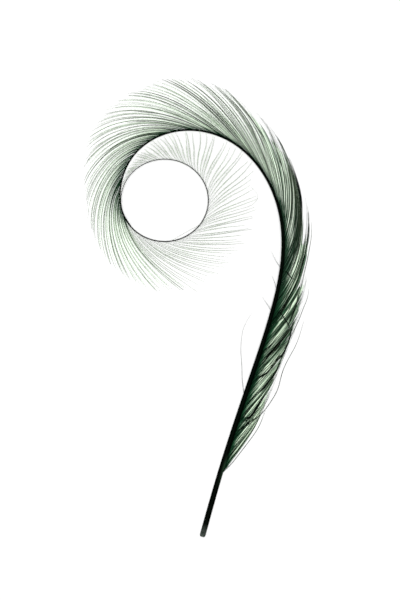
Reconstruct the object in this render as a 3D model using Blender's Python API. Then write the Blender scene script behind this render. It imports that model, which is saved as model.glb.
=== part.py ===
"""Curled sickle feather of a golden pheasant, lying flat and seen from above.

The feather grew as one piece, so it is one closed body: a tapering shaft, with a row of long
locks growing out of its outer side, and a few single wisps out of its inner side.
X runs to the right and Y towards the top of the curl. Z is up, and the floor is Z = 0.
"""

import bmesh
import bpy
import numpy as np

MM = 0.001

# The shaft's route in plan, in mm: the quill end first, up the long side and over the top of the curl.
SHAFT_POINTS = [(0.9, -75.8), (7.3, -53.3), (16.5, -25.0), (24.7, 1.0), (27.7, 17.8), (26.4, 33.5),
                (20.4, 46.5), (10.8, 55.6), (-0.8, 59.5), (-12.2, 58.1), (-21.6, 51.6), (-26.1, 41.8)]

# The end of the curl closes on itself in an almost round ring, a little smaller on each turn.
RING_CENTRE = (-11.6, 36.2)
RING_RADII = (14.63, 13.73)
RING_FROM_DEG = 205
RING_TO_DEG = 580
RING_STEP_DEG = 25
RING_SHRINK_PER_TURN = 0.011
ROUTE_SAMPLES = 6000

# Along the shaft, in mm from the quill end: the radius, and the height of the underside above the floor.
SHAFT_RADIUS = [(0, 0.45), (0.35, 0.75), (1.0, 0.92), (3.0, 0.95), (24, 0.88), (60, 0.76), (100, 0.58),
                (130, 0.38), (160, 0.29), (190, 0.21), (220, 0.15), (260, 0.11), (291, 0.06)]
SHAFT_UNDERSIDE = [(0, 0), (26, 0), (60, 0.9), (100, 2.0), (140, 1.7), (170, 1.1), (195, 0.9),
                   (225, 1.7), (255, 2.6), (280, 3.3), (291, 3.5)]
UNDERSIDE_SMOOTHING = 9.0
SMOOTHING_SAMPLES = 31
SHAFT_SIDES = 8

# The quill's blunt nose ends at NOSE_TO, and its underside is flat on the floor up to QUILL_FLAT_TO.
NOSE_TO = 3.0
QUILL_FLAT_TO = 19.5
QUILL_STATIONS = [0, 0.35, 1.0, NOSE_TO, 9.0, 15.0, QUILL_FLAT_TO]

# Where the locks root along the shaft. Two thirds of each pitch is root, the rest is bare shaft.
LOCKS_FROM = 22.5
LOCKS_TO = 284.0
LOCK_PITCH = 3.6
LOCK_ROOT = 2.4

# Past the last lock the bare tip of the shaft has a ring of corners at each step, and one at its end.
TIP_STATION_STEP = 2.4
TIP_CLEARANCE = 1.0

# The fan of barbs. Each row: place on the shaft, tip x and y, all in mm, the angle in degrees at
# which a barb leaves the shaft, and the angle in degrees by which its end curls in past its chord.
BARB_FAN = [
    (22.5, 20.7, -34.5, 16, 10),
    (30, 24.7, -25.5, 16, 10),
    (40, 28.0, -16.5, 18, 11),
    (50, 31.6, -8.0, 20, 13),
    (60, 34.3, 1.2, 21, 14),
    (70, 36.2, 10.8, 20, 15),
    (78, 37.2, 22.0, 18, 15),
    (84, 36.0, 32.5, 16, 17),
    (90, 34.0, 40.5, 15, 20),
    (97, 31.2, 49.2, 14, 23),
    (104, 27.6, 56.6, 12, 23),
    (111, 22.7, 63.0, 10, 21),
    (118, 14.8, 70.0, 8, 19),
    (126, 1.5, 75.8, 6, 18),
    (134, -11.5, 76.4, 6, 20),
    (144, -24.0, 71.2, 10, 26),
    (150, -32.0, 65.0, 14, 30),
    (155.5, -36.4, 57.0, 18, 34),
    (160, -37.6, 49.5, 21, 35),
    (166, -38.0, 41.5, 25, 36),
    (171.5, -37.6, 32.2, 27, 36),
    (177, -34.7, 22.8, 27, 34),
    (183, -30.0, 15.5, 24, 30),
    (187.5, -23.3, 9.8, 21, 26),
    (192.5, -15.0, 6.8, 18, 22),
    (198, -7.3, 6.8, 12, 14),
    (203, 0.0, 9.5, 12, 12),
    (208, 6.0, 12.8, 16, 12),
    (213, 8.9, 16.8, 19, 10),
    (218, 13.3, 21.8, 20, 6),
    (223, 16.3, 26.8, 20, 2),
    (228, 18.7, 33.8, 20, 0),
    (233, 17.0, 42.2, 24, 0),
    (238, 14.0, 50.2, 28, 2),
    (243, 7.3, 55.2, 28, 4),
    (248, -1.0, 57.6, 28, 6),
    (253, -9.3, 57.2, 30, 6),
    (258, -15.3, 55.2, 32, 6),
    (264, -21.0, 50.8, 32, 6),
    (270, -24.6, 45.2, 30, 6),
    (276, -26.6, 40.6, 28, 6),
    (284, -27.6, 34.0, 26, 6),
]

# One long lock has slipped out of the vane, over its neighbours, and lies outside it: its place,
# tip and angles, and how high in mm it arches over them.
LOOSE_LOCK_PLACE = 33.3
LOOSE_LOCK = (34.9, -4.0, 15, 12)
LOOSE_LOCK_ARCH = 1.6

# Wisps on the inner side: place on the shaft, tip x and y, the angle away from the shaft, the end's turn.
WISPS = [
    (50.0, 17.8, -0.6, 20, -24),
    (79.0, 21.2, 3.2, 24, 0),
    (86.5, 23.8, 11.4, 22, 6),
    (93.8, 23.6, 19.6, 22, 10),
]

# Heights in mm of a lock's tip above the floor, by its place on the shaft, and how far a wisp's end
# hangs below its root.
TIP_HEIGHT = [(22, 0.16), (205, 0.16), (216, 0.4), (230, 1.2), (245, 2.3), (262, 2.9), (284, 3.3)]
WISP_DROP = 0.4

# A lock's cross-section from root to tip: share of its lane that it fills, and thickness in mm.
LOCK_WIDTH_SHARE = [(0.0, 1.0), (0.5, 0.96), (0.8, 0.75), (0.93, 0.42), (1.0, 0.1)]
LOCK_THICKNESS = [(0.12, 0.42), (0.5, 0.32), (1.0, 0.14)]
LOCK_STATIONS = [0.05, 0.13, 0.23, 0.34, 0.46, 0.58, 0.7, 0.81, 0.91, 1.0]
ROOT_HANDLE = 0.36
TIP_HANDLE = 0.33
DROOP_POWER = 1.6

FEATHER_COLOUR = (0.016, 0.032, 0.022, 1.0)
FEATHER_ROUGHNESS = 0.42
SHARP_EDGE_DEG = 40


def natural_spline(points, count):
    """Smooth curve through the points, as count samples, with the chord length as its parameter."""
    knots = np.array(points, float)
    chords = np.linalg.norm(np.diff(knots, axis=0), axis=1)
    at = np.concatenate([[0], np.cumsum(chords)])
    size = len(at)
    system = np.eye(size)
    bends = np.zeros_like(knots)
    for i in range(1, size - 1):
        before, after = chords[i - 1], chords[i]
        system[i, i - 1:i + 2] = before, 2 * (before + after), after
        bends[i] = 6 * ((knots[i + 1] - knots[i]) / after - (knots[i] - knots[i - 1]) / before)
    bends = np.linalg.solve(system, bends)
    samples = np.linspace(0, at[-1], count)
    span = np.clip(np.searchsorted(at, samples) - 1, 0, size - 2)
    width = chords[span][:, None]
    left = (at[span + 1] - samples)[:, None] / width
    right = 1 - left
    curve = left * knots[span] + right * knots[span + 1]
    curve += ((left ** 3 - left) * bends[span] + (right ** 3 - right) * bends[span + 1]) * width ** 2 / 6
    return curve


def ring_point(turn_deg):
    """Point of the closing ring, in mm, at a turn counted anticlockwise from +X."""
    turn = np.radians(turn_deg)
    size = 1 - RING_SHRINK_PER_TURN * (turn_deg - RING_FROM_DEG) / 360
    return (RING_CENTRE[0] + RING_RADII[0] * size * np.cos(turn),
            RING_CENTRE[1] + RING_RADII[1] * size * np.sin(turn))


def table(rows, places, column=1):
    """A column of a table read at the places, straight between its rows."""
    rows = np.array(rows, float)
    return np.interp(places, rows[:, 0], rows[:, column])


class Shaft:
    """The shaft's centre line in mm, read by the distance from the quill end."""

    def __init__(self):
        turns = range(RING_FROM_DEG, RING_TO_DEG + 1, RING_STEP_DEG)
        self.line = natural_spline(SHAFT_POINTS + [ring_point(turn) for turn in turns], ROUTE_SAMPLES)
        steps = np.linalg.norm(np.diff(self.line, axis=0), axis=1)
        self.places = np.concatenate([[0], np.cumsum(steps)])
        self.length = self.places[-1]
        along = np.gradient(self.line, self.places, axis=0)
        self.along = along / np.linalg.norm(along, axis=1)[:, None]

    def at(self, place):
        """Point, direction along the shaft, and direction to its outer side, all in plan."""
        point = np.array([np.interp(place, self.places, self.line[:, k]) for k in (0, 1)])
        along = np.array([np.interp(place, self.places, self.along[:, k]) for k in (0, 1)])
        along /= np.linalg.norm(along)
        return point, along, np.array([along[1], -along[0]])

    def radius(self, place):
        return float(table(SHAFT_RADIUS, place))

    def height(self, place):
        """Height of the centre line: the underside's table, smoothed, plus the radius.

        The nose narrows round the quill's own centre line, so it keeps the height of the quill behind it.
        """
        if place <= QUILL_FLAT_TO:
            return self.radius(max(place, NOSE_TO))
        window = place + np.linspace(-UNDERSIDE_SMOOTHING, UNDERSIDE_SMOOTHING, SMOOTHING_SAMPLES)
        return float(np.mean(table(SHAFT_UNDERSIDE, window))) + self.radius(place)


def turned(direction, degrees):
    """A direction in plan, turned clockwise, which is towards the shaft's outer side."""
    c, s = np.cos(np.radians(degrees)), np.sin(np.radians(degrees))
    return np.array([direction[0] * c + direction[1] * s, direction[1] * c - direction[0] * s])


def barb_curve(shaft, place, tip, leave_deg, curl_deg, side=1):
    """Function of 0 to 1: the plan of a barb from the shaft's side at this place out to its tip."""
    centre, along, outward = shaft.at(place)
    root = centre + side * outward * shaft.radius(place)
    tip = np.array(tip, float)
    chord = tip - root
    length = np.linalg.norm(chord)
    near_root = root + turned(along, side * leave_deg) * length * ROOT_HANDLE
    near_tip = tip - turned(chord / length, -side * curl_deg) * length * TIP_HANDLE

    def point(t):
        return ((1 - t) ** 3 * root + 3 * (1 - t) ** 2 * t * near_root
                + 3 * (1 - t) * t ** 2 * near_tip + t ** 3 * tip)

    return point


def fan_barb(shaft, place):
    """The barb that the fan puts at this place on the shaft."""
    tip = (table(BARB_FAN, place, 1), table(BARB_FAN, place, 2))
    return barb_curve(shaft, place, tip, table(BARB_FAN, place, 3), table(BARB_FAN, place, 4))


def shaft_ring(mesh, shaft, place):
    """Ring of corners round the shaft, upright across it, with a flat side down and one outward."""
    centre, _, outward = shaft.at(place)
    height = shaft.height(place)
    corner_radius = shaft.radius(place) / np.cos(np.pi / SHAFT_SIDES)
    corners = []
    for side in range(SHAFT_SIDES):
        turn = (side - 0.5) * 2 * np.pi / SHAFT_SIDES
        plan = centre + outward * corner_radius * np.cos(turn)
        corners.append(mesh.verts.new((*(plan * MM), (height + corner_radius * np.sin(turn)) * MM)))
    return corners


def grow_lock(mesh, root, rear_edge, front_edge, root_height, tip_height, arch=0.0):
    """Close the shaft's open side with a flat tapering lock between two barbs.

    root holds the four corners of the opening: rear low, front low, front high and rear high. The lock
    sinks from root to tip height, and an arched one rises by the arch halfway, as a parabola.
    """
    previous = root
    for t in LOCK_STATIONS:
        rear, front = rear_edge(t), front_edge(t)
        middle = (rear + front) / 2
        share = float(table(LOCK_WIDTH_SHARE, t))
        half = float(table(LOCK_THICKNESS, t)) / 2
        open_height = (root[3].co.z - root[0].co.z) / MM / 2
        half = min(half, open_height + (half - open_height) * min(1.0, t / LOCK_THICKNESS[0][0]))
        height = tip_height + (root_height - tip_height) * (1 - t) ** DROOP_POWER
        height += arch * 4 * t * (1 - t)
        rear = middle + (rear - middle) * share
        front = middle + (front - middle) * share
        ring = [mesh.verts.new((*(plan * MM), level * MM)) for plan, level in (
            (rear, height - half), (front, height - half), (front, height + half), (rear, height + half))]
        for k in range(4):
            mesh.faces.new((previous[k], previous[(k + 1) % 4], ring[(k + 1) % 4], ring[k]))
        previous = ring
    mesh.faces.new(previous)


def feather_mesh():
    """The whole feather as one closed mesh."""
    shaft = Shaft()
    lock_places = np.arange(LOCKS_FROM, LOCKS_TO, LOCK_PITCH)
    roots = [(place, place + LOCK_ROOT) for place in lock_places]
    tip_stations = np.arange(roots[-1][1] + TIP_STATION_STEP, shaft.length - TIP_CLEARANCE, TIP_STATION_STEP)
    stations = QUILL_STATIONS + [place for pair in roots for place in pair] + list(tip_stations)
    stations.append(shaft.length)
    mesh = bmesh.new()
    rings = [shaft_ring(mesh, shaft, place) for place in stations]
    mesh.faces.new(rings[0])
    mesh.faces.new(rings[-1])

    loose = int(np.argmin(np.abs(lock_places - LOOSE_LOCK_PLACE)))
    first_root = len(QUILL_STATIONS)
    wisp_at = {first_root + 1 + 2 * int(np.argmin(np.abs(lock_places + LOCK_ROOT - wisp[0]))): wisp
               for wisp in WISPS}
    for i, (rear_place, front_place) in enumerate(zip(stations[:-1], stations[1:])):
        rear_ring, front_ring = rings[i], rings[i + 1]
        lock = (i - first_root) // 2 if i >= first_root and (i - first_root) % 2 == 0 else None
        if lock is not None and lock >= len(roots):
            lock = None
        for side in range(SHAFT_SIDES):
            after = (side + 1) % SHAFT_SIDES
            opening = (rear_ring[side], front_ring[side], front_ring[after], rear_ring[after])
            if side == 0 and lock is not None:
                edges = [fan_barb(shaft, place) for place in roots[lock]]
                arch = 0.0
                if lock == loose:
                    *tip, leave, curl = LOOSE_LOCK
                    edges = [barb_curve(shaft, place, tip, leave, curl) for place in roots[lock]]
                    arch = LOOSE_LOCK_ARCH
                middle = (rear_place + front_place) / 2
                heights = shaft.height(middle), float(table(TIP_HEIGHT, middle))
                grow_lock(mesh, opening, *edges, *heights, arch)
            elif side == SHAFT_SIDES // 2 and i in wisp_at:
                _, *tip, leave, curl = wisp_at[i]
                edges = [barb_curve(shaft, place, tip, leave, curl, side=-1)
                         for place in (rear_place, front_place)]
                middle = shaft.height((rear_place + front_place) / 2)
                corners = (opening[3], opening[2], opening[1], opening[0])
                grow_lock(mesh, corners, *edges, middle, middle - WISP_DROP)
            else:
                mesh.faces.new(opening)
    bmesh.ops.triangulate(mesh, faces=mesh.faces[:])
    bmesh.ops.recalc_face_normals(mesh, faces=mesh.faces[:])
    data = bpy.data.meshes.new("feather")
    mesh.to_mesh(data)
    mesh.free()
    data.shade_smooth()
    data.set_sharp_from_angle(angle=np.radians(SHARP_EDGE_DEG))
    return data


def feather_material():
    """Near-black green keratin with a soft sheen."""
    material = bpy.data.materials.new("feather")
    material.use_nodes = True
    shader = material.node_tree.nodes["Principled BSDF"]
    shader.inputs["Base Color"].default_value = FEATHER_COLOUR
    shader.inputs["Roughness"].default_value = FEATHER_ROUGHNESS
    shader.inputs["Metallic"].default_value = 0.0
    return material


for startup in list(bpy.data.objects):
    bpy.data.objects.remove(startup, do_unlink=True)

feather = bpy.data.objects.new("feather", feather_mesh())
feather.data.materials.append(feather_material())
bpy.context.scene.collection.objects.link(feather)
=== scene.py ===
"""Curled sickle feather of a golden pheasant, lying on a pale surface and seen from above."""

import bpy
import numpy as np
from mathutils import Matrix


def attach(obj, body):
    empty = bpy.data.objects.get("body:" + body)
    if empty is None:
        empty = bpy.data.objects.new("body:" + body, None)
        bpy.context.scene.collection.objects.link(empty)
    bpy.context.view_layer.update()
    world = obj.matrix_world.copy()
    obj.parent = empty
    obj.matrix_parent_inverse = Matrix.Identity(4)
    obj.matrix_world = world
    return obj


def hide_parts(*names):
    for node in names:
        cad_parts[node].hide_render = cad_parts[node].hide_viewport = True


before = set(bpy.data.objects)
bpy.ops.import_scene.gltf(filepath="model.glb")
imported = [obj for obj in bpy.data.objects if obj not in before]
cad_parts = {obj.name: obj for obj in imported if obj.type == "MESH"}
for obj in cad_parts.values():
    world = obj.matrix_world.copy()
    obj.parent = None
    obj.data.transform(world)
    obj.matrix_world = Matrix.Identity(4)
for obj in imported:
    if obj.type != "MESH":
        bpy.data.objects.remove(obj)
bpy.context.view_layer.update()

# Sizes are in mm until a mesh is made. A place is a distance along the shaft from the quill's end.
MM = 0.001

# The shaft
# The feather's stem: horn, near black, a round hollow quill that thins to a hair at the end of the curl.
# It lies on the floor at the quill, arches up along the straight side, and its last turn closes a ring.
SHAFT_POINTS = [(0.9, -75.8), (7.3, -53.3), (16.5, -25.0), (24.7, 1.0), (27.7, 17.8), (26.4, 33.5),
                (20.4, 46.5), (10.8, 55.6), (-0.8, 59.5), (-12.2, 58.1), (-21.6, 51.6), (-26.1, 41.8)]
RING_CENTRE = (-11.6, 36.2)
RING_RADII = (14.63, 13.73)
RING_TURNS_DEG = range(205, 581, 25)
RING_SHRINK_PER_TURN = 0.011
# Its radius, and the height of its underside over the floor, at their places.
SHAFT_RADIUS = [(0, 0.93), (3.0, 0.95), (24, 0.88), (60, 0.76), (100, 0.58),
                (130, 0.38), (160, 0.29), (190, 0.21), (220, 0.155), (260, 0.13), (291, 0.09)]
SHAFT_UNDERSIDE = [(0, 0), (26, 0), (60, 0.9), (100, 2.0), (140, 1.7), (170, 1.1), (195, 0.9),
                   (225, 1.7), (255, 2.6), (280, 3.3), (291, 3.5)]
UNDERSIDE_SMOOTHING = 9.0
SMOOTHING_READINGS = 31
SHAFT_READINGS = 6000


def natural_spline(points, count):
    """Smooth curve through the points: cubic pieces whose bend runs on through each point."""
    knots = np.array(points, float)
    chords = np.linalg.norm(np.diff(knots, axis=0), axis=1)
    at = np.concatenate([[0], np.cumsum(chords)])
    size = len(at)
    system = np.eye(size)
    bends = np.zeros_like(knots)
    for i in range(1, size - 1):
        before, after = chords[i - 1], chords[i]
        system[i, i - 1:i + 2] = before, 2 * (before + after), after
        bends[i] = 6 * ((knots[i + 1] - knots[i]) / after - (knots[i] - knots[i - 1]) / before)
    bends = np.linalg.solve(system, bends)
    samples = np.linspace(0, at[-1], count)
    span = np.clip(np.searchsorted(at, samples) - 1, 0, size - 2)
    width = chords[span][:, None]
    left = (at[span + 1] - samples)[:, None] / width
    right = 1 - left
    curve = left * knots[span] + right * knots[span + 1]
    curve += ((left ** 3 - left) * bends[span] + (right ** 3 - right) * bends[span + 1]) * width ** 2 / 6
    return curve


def column(rows, at, number=1):
    """A column of a table read at any array of places, straight between its rows."""
    rows = np.array(rows, float)
    return np.interp(at, rows[:, 0], rows[:, number])


def unit(vectors):
    """Vectors divided by their length."""
    return vectors / np.linalg.norm(vectors, axis=-1, keepdims=True)


ring_turns = np.radians(RING_TURNS_DEG)
ring_size = 1 - RING_SHRINK_PER_TURN * (ring_turns - ring_turns[0]) / (2 * np.pi)
ring_points = np.stack([RING_CENTRE[0] + RING_RADII[0] * ring_size * np.cos(ring_turns),
                        RING_CENTRE[1] + RING_RADII[1] * ring_size * np.sin(ring_turns)], axis=1)
shaft_line = natural_spline(SHAFT_POINTS + ring_points.tolist(), SHAFT_READINGS)
shaft_places = np.concatenate([[0], np.cumsum(np.linalg.norm(np.diff(shaft_line, axis=0), axis=1))])
shaft_length = shaft_places[-1]
shaft_heading = np.gradient(shaft_line, shaft_places, axis=0)

smooth_offsets = np.linspace(-UNDERSIDE_SMOOTHING, UNDERSIDE_SMOOTHING, SMOOTHING_READINGS)
shaft_underside = column(SHAFT_UNDERSIDE, shaft_places[:, None] + smooth_offsets).mean(axis=1)


def on_shaft(place):
    """Centre, heading and outward side of the shaft in plan, and its height, at any array of places."""
    centre, heading = (np.stack([np.interp(place, shaft_places, line[:, k]) for k in (0, 1)], axis=-1)
                       for line in (shaft_line, shaft_heading))
    heading = unit(heading)
    outward = np.stack([heading[..., 1], -heading[..., 0]], axis=-1)
    height = np.interp(place, shaft_places, shaft_underside) + column(SHAFT_RADIUS, place)
    return centre, heading, outward, height


def tube_triangles(strands, rings, sides):
    """Corner numbers of closed tubes: each ring joined to the next, and a fan over both ends."""
    first = (np.arange(strands)[:, None, None] * rings + np.arange(rings - 1)[None, :, None]) * sides
    side = np.arange(sides)[None, None, :]
    after = (side + 1) % sides
    a, b = first + side, first + after
    c, d = b + sides, a + sides
    walls = np.concatenate([np.stack([a, b, c], -1).reshape(-1, 3), np.stack([a, c, d], -1).reshape(-1, 3)])
    fan = np.stack([np.zeros(sides - 2, int), np.arange(2, sides), np.arange(1, sides - 1)], axis=1)
    start = np.arange(strands)[:, None, None] * rings * sides
    ends = (start + fan, start + (rings - 1) * sides + fan[:, ::-1])
    return np.concatenate([walls] + [end.reshape(-1, 3) for end in ends])


def placed(name, data, location=(0.0, 0.0, 0.0)):
    """A new object of the scene that holds this mesh, light or camera."""
    made = bpy.data.objects.new(name, data)
    made.location = location
    bpy.context.scene.collection.objects.link(made)
    return made


def make_piece(name, corners, triangles, attributes, material):
    """Put corners in mm and their triangles into a smooth mesh that stands for the feather's solid."""
    mesh = bpy.data.meshes.new(name)
    mesh.vertices.add(len(corners))
    mesh.vertices.foreach_set("co", (corners * MM).astype(np.float32).ravel())
    mesh.loops.add(triangles.size)
    mesh.loops.foreach_set("vertex_index", triangles.astype(np.int32).ravel())
    mesh.polygons.add(len(triangles))
    mesh.polygons.foreach_set("loop_start", np.arange(0, triangles.size, 3, dtype=np.int32))
    mesh.update(calc_edges=True)
    for title, values in attributes.items():
        layer = mesh.attributes.new(title, "FLOAT", "POINT")
        layer.data.foreach_set("value", np.asarray(values, np.float32).ravel())
    mesh.materials.append(material)
    mesh.shade_smooth()
    piece = placed(name, mesh)
    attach(piece, "root")
    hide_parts("feather")


# From the bottom of the bore out over the blunt rim, then along the outside to the hair-thin tip.
QUILL_SIDES = 40
QUILL_BORE = 0.6
QUILL_BORE_DEPTH = 2.6
# Places inside the bore, and the share of its radius there.
RIM = [(QUILL_BORE_DEPTH, 0.02), (QUILL_BORE_DEPTH - 0.3, 0.7), (0.3, 0.95), (0.1, 1.0)]
NOSE_LENGTH = 0.9
NOSE_ROUNDING = 0.9
NOSE_RADIUS = 0.94
# How many rings of corners go round the nose, and how far apart they are behind it.
NOSE_RINGS = 9
CORNERS_STEP = 0.4
# The ridge on the shaft's back and the groove under it grow in over this length, from these shares of it.
RELIEF_LENGTH = 30.0
RIDGE_FROM = 0.6
RIDGE_HEIGHT = 0.035
RIDGE_SHARPNESS = 8
GROOVE_FROM = 0.7
GROOVE_DEPTH = 0.12
GROOVE_HALF_ANGLE = 0.3

bore_places = np.array([place for place, _ in RIM])
bore_radii = np.array([share * QUILL_BORE for _, share in RIM])
nose_turn = np.linspace(0, np.pi / 2, NOSE_RINGS)
nose_places = NOSE_LENGTH * (1 - np.cos(nose_turn)) * NOSE_ROUNDING
nose_radii = QUILL_BORE + (NOSE_RADIUS - QUILL_BORE) * np.sin(nose_turn)
outer_places = np.arange(NOSE_LENGTH + CORNERS_STEP, shaft_length, CORNERS_STEP)
outer_places = np.append(outer_places, shaft_length)
profile_places = np.concatenate([bore_places, nose_places, outer_places])
profile_radii = np.concatenate([bore_radii, nose_radii, column(SHAFT_RADIUS, outer_places)])
centre, _, outward, height = on_shaft(profile_places)
angle = np.arange(QUILL_SIDES) * 2 * np.pi / QUILL_SIDES
relief = profile_places[:, None] / RELIEF_LENGTH
back = np.cos(angle - np.pi / 2) ** RIDGE_SHARPNESS
ridge = 1 + RIDGE_HEIGHT * back * np.clip(relief - RIDGE_FROM, 0, 1)
under = np.exp(-((angle - 1.5 * np.pi) / GROOVE_HALF_ANGLE) ** 2)
groove = GROOVE_DEPTH * np.clip(relief - GROOVE_FROM, 0, 1) * under
radius = profile_radii[:, None] * (ridge - groove)
plan = centre[:, None] + outward[:, None] * (radius * np.cos(angle))[..., None]
level = height[:, None] + radius * np.sin(angle)
shaft_corners = np.concatenate([plan, level[..., None]], axis=-1).reshape(-1, 3)
shaft_triangles = tube_triangles(1, len(profile_places), QUILL_SIDES)[:, ::-1]
side_turn = np.abs(np.arange(QUILL_SIDES) / QUILL_SIDES * 2 - 1)

# The pale colour is partly the quill end's paler horn and partly a painted highlight along its streaks.
HORN_BLACK = (0.0001, 0.0004, 0.0002, 1)
HORN_STREAK = (0.0009, 0.003, 0.0013, 1)
HORN_PALE_AND_HIGHLIGHT = (0.12, 0.15, 0.13, 1)
HORN_OLIVE = (0.02, 0.045, 0.024, 1)
HORN_ROUGHNESS = (0.34, 0.6)
HORN_SPECULAR = 0.01
FIBRES_ROUND = 14.0
STREAK_LIMITS = (0.35, 0.7)
# Places between which the quill's pale end, paler horn streaked with painted highlights, and the olive
# collar at the vane's foot come in or go, and the share of the way round the shaft where the collar comes
# in.
PALE_END_AND_HIGHLIGHT = (4.5, 0.3)
COLLAR_BEGINS = (17.0, 24.0)
COLLAR_ENDS = (29.0, 25.0)
COLLAR_SIDE = (0.5, 0.8)


def new_material(name):
    """A material, its node tree and its Principled shader."""
    material = bpy.data.materials.new(name)
    material.use_nodes = True
    return material, material.node_tree, material.node_tree.nodes["Principled BSDF"]


def feed(tree, socket, value):
    """Link an input to another node's output, or set it to a plain value."""
    if isinstance(value, bpy.types.NodeSocket):
        tree.links.new(value, socket)
    else:
        socket.default_value = value


def fill(tree, made, **inputs):
    """Feed a node's inputs by name."""
    for title, value in inputs.items():
        feed(tree, made.inputs[title.replace("_", " ")], value)
    return made


def node(tree, kind, **inputs):
    """Add a shader node and feed its inputs by name."""
    return fill(tree, tree.nodes.new(kind), **inputs)


def attribute(tree, title):
    """The number that a mesh carries at its corners under this title."""
    reader = node(tree, "ShaderNodeAttribute")
    reader.attribute_name = title
    return reader.outputs["Fac"]


def spread(tree, value, from_low=0.0, from_high=1.0, to_low=0.0, to_high=1.0):
    """A value taken from one range to another, and held at the ends."""
    limits = {"From_Min": from_low, "From_Max": from_high, "To_Min": to_low, "To_Max": to_high}
    return node(tree, "ShaderNodeMapRange", Value=value, **limits).outputs[0]


def product(tree, first, second):
    """Two values multiplied."""
    times = node(tree, "ShaderNodeMath", Value=first)
    times.operation = "MULTIPLY"
    feed(tree, times.inputs[1], second)
    return times.outputs[0]


def mixed(tree, share, first, second):
    """Two colours mixed, all the first where the share is nought and all the second where it is one."""
    mix = node(tree, "ShaderNodeMix")
    mix.data_type = "RGBA"
    for number, value in ((0, share), (6, first), (7, second)):
        feed(tree, mix.inputs[number], value)
    return mix.outputs[2]


def shaft_horn():
    """Near-black horn with fine fibres along it, paler at the quill's end with painted highlight streaks
    there, and olive at the vane's foot.
    """
    material, tree, shader = new_material("shaft_horn")
    place = attribute(tree, "place")
    turn = attribute(tree, "turn")
    at = node(tree, "ShaderNodeCombineXYZ", X=place, Y=product(tree, turn, FIBRES_ROUND)).outputs[0]
    noise = node(tree, "ShaderNodeTexNoise", Vector=at, Scale=1.1, Detail=5.0, Roughness=0.65)
    fibres = noise.outputs["Fac"]
    streaks = spread(tree, fibres, *STREAK_LIMITS)
    # The quill's end: paler horn, its light streaks painted highlights.
    pale_end_and_highlight = product(tree, spread(tree, place, *PALE_END_AND_HIGHLIGHT), streaks)
    collar_run = product(tree, spread(tree, place, *COLLAR_BEGINS), spread(tree, place, *COLLAR_ENDS))
    collar = product(tree, collar_run, spread(tree, turn, *COLLAR_SIDE))
    dark = mixed(tree, streaks, HORN_BLACK, HORN_STREAK)
    pale_and_highlit = mixed(tree, pale_end_and_highlight, dark, HORN_PALE_AND_HIGHLIGHT)
    olive = mixed(tree, collar, pale_and_highlit, HORN_OLIVE)
    rough = spread(tree, fibres, 0.0, 1.0, *HORN_ROUGHNESS)
    bump = node(tree, "ShaderNodeBump", Height=fibres, Strength=0.5, Distance=0.00006).outputs[0]
    fill(tree, shader, Base_Color=olive, Roughness=rough, Normal=bump, Specular_IOR_Level=HORN_SPECULAR)
    return material


shaft_patterns = {"place": np.repeat(profile_places, QUILL_SIDES),
                  "turn": np.tile(side_turn, len(profile_places))}
make_piece("shaft", shaft_corners, shaft_triangles, shaft_patterns, shaft_horn())

# The lower vane's barbs
# Fine horn hairs off the shaft's outer side, a fraction of a millimetre apart. Neighbours hook together
# into wedge-shaped locks whose ends draw to points along the vane's edge, each over the one below it.

# Root place, the tip's x and y, and the degrees by which a barb leaves the shaft and curls at its tip.
BARB_FAN = [
    (22.5, 20.7, -34.5, 18, 13), (30, 24.7, -25.5, 20, 15), (40, 28.0, -16.5, 21, 15),
    (50, 31.6, -8.0, 22, 15), (60, 34.3, 1.2, 22, 15), (70, 36.2, 12.0, 22, 16),
    (73, 36.8, 22.0, 23, 18), (76, 36.6, 30.0, 24, 19), (82, 35.2, 38.0, 26, 23),
    (83.5, 29.6, 50.0, 28, 27), (90, 27.9, 53.8, 26, 27), (97, 26.0, 57.5, 24, 28),
    (104, 22.3, 62.2, 20, 27), (109, 17.3, 67.0, 16, 26), (114, 10.0, 72.0, 12, 24),
    (119, 5.5, 74.3, 9, 21), (126, -2.0, 76.2, 7, 19), (134, -12.5, 76.4, 6, 20),
    (144, -24.0, 71.2, 10, 26), (150, -32.0, 65.0, 14, 30), (155.5, -36.4, 57.0, 18, 34),
    (160, -37.6, 49.5, 21, 35), (166, -38.0, 41.5, 25, 36), (171.5, -37.6, 32.2, 27, 36),
    (177, -34.7, 22.8, 27, 34), (183, -30.0, 15.5, 24, 30), (187.5, -23.3, 9.8, 21, 26),
    (192.5, -15.0, 6.8, 18, 22), (198, -7.3, 6.8, 12, 14), (203, 0.0, 9.5, 12, 12),
    (208, 6.0, 12.8, 16, 12), (213, 8.9, 16.8, 19, 10), (218, 13.3, 21.8, 20, 6),
    (223, 16.3, 26.8, 20, 2), (228, 18.7, 33.8, 20, 0), (233, 17.0, 42.2, 24, 0),
    (238, 14.0, 50.2, 28, 2), (243, 7.3, 55.2, 28, 4), (248, -1.0, 57.6, 28, 6),
    (253, -9.3, 57.2, 30, 6), (258, -15.3, 55.2, 32, 6), (264, -21.0, 50.8, 32, 6),
    (270, -24.6, 45.2, 30, 6), (276, -26.6, 40.6, 28, 6), (284, -27.6, 34.0, 26, 6),
]
TIP_HEIGHT = [(22, 0.32), (110, 0.32), (205, 0.26), (216, 0.45), (230, 1.2), (245, 2.3), (262, 2.9),
              (284, 3.3)]
LOWEST = 0.1
ROOT_HANDLE = 0.36
TIP_HANDLE = 0.33
DROOP_POWER = 1.6
# Sizes of the three waves that make up a barb's sway, and how many quarter turns each makes along it.
SWAY_SIZES = (1.0, 0.5, 0.25)
SWAY_QUARTERS = (1.5, 3.0, 6.0)
STRAND_RINGS = 26
STRAND_SIDES = 3
STRAND_FLATNESS = 0.8

along = np.linspace(0, 1, STRAND_RINGS)


def turned(direction, degrees):
    """Directions in plan turned clockwise, which is towards the shaft's outer side."""
    c, s = np.cos(np.radians(degrees)), np.sin(np.radians(degrees))
    return np.stack([direction[..., 0] * c + direction[..., 1] * s,
                     direction[..., 1] * c - direction[..., 0] * s], axis=-1)


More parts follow.
